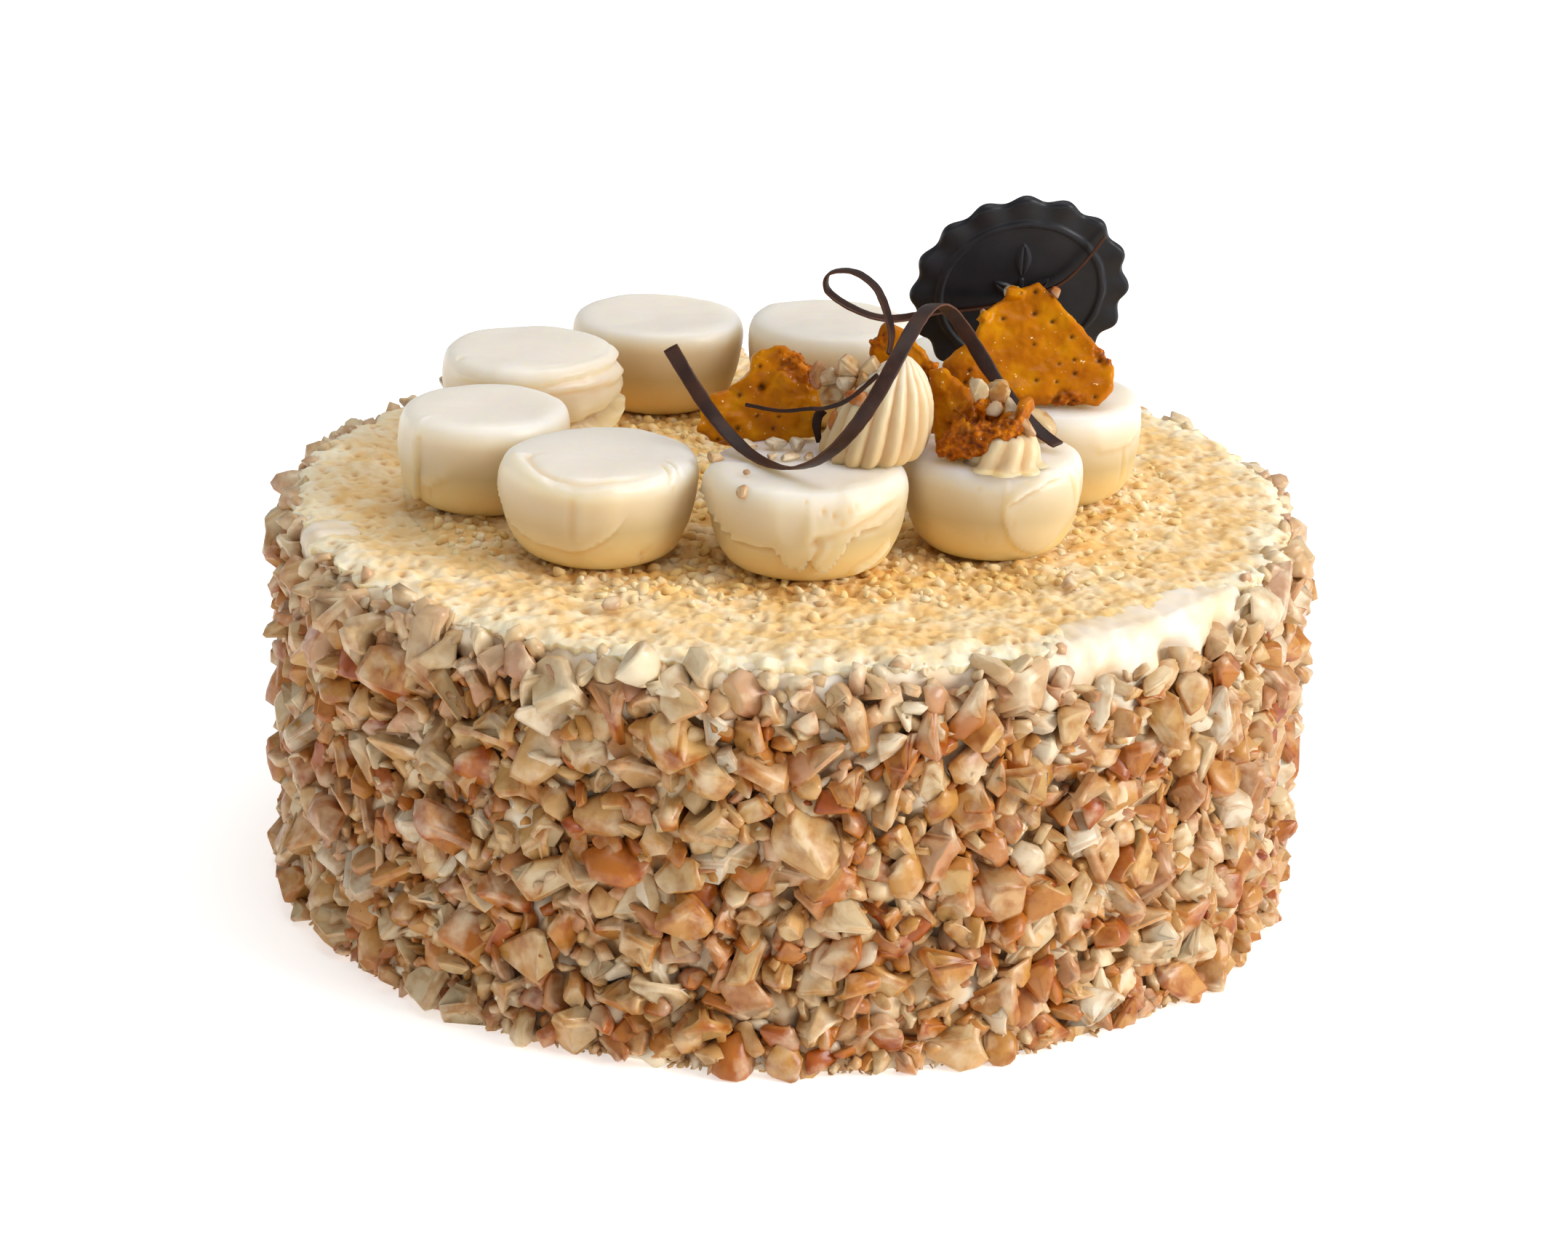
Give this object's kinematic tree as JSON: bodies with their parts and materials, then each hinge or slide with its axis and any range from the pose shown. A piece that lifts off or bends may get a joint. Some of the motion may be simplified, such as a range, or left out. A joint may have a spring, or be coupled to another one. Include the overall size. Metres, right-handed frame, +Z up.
{
  "type": "banana crumble cake",
  "caption": "Round nut-crusted cream cake with a crumb top, a ring of piped cream rounds, nut brittle, chocolate curls and a scalloped chocolate disc.",
  "frame": {"origin": "centre of the cake body's underside, on the surface that it stands on", "axes": "+Z up; the front of the decoration looks along -Y, and +X is to the right when seen from the front"},
  "size_m": [0.2004, 0.1996, 0.134],
  "materials": {
    "nut_crust": "chopped roasted nuts and sandy crumb over cream, matte",
    "cream": "piped butter cream, smooth with a soft sheen",
    "brittle": "amber caramel brittle, glossy with dark pits",
    "dark_chocolate": "moulded dark chocolate, satin",
    "curl_chocolate": "shaved chocolate ribbon, satin"
  },
  "bodies": {
    "root": {"cake": "nut_crust", "cream_round_1": "cream", "cream_round_2": "cream", "cream_round_3": "cream", "cream_round_4": "cream", "cream_round_5": "cream", "cream_round_6": "cream", "cream_round_7": "cream", "cream_round_8": "cream", "cream_round_9": "cream", "rosette_front": "cream", "rosette_right": "cream", "brittle_large": "brittle", "brittle_left": "brittle", "brittle_back": "brittle", "brittle_centre": "brittle", "medallion": "dark_chocolate", "curl_front": "curl_chocolate", "curl_loop": "curl_chocolate", "curl_thread": "curl_chocolate", "curl_scrap": "curl_chocolate"}
  },
  "joints": []
}
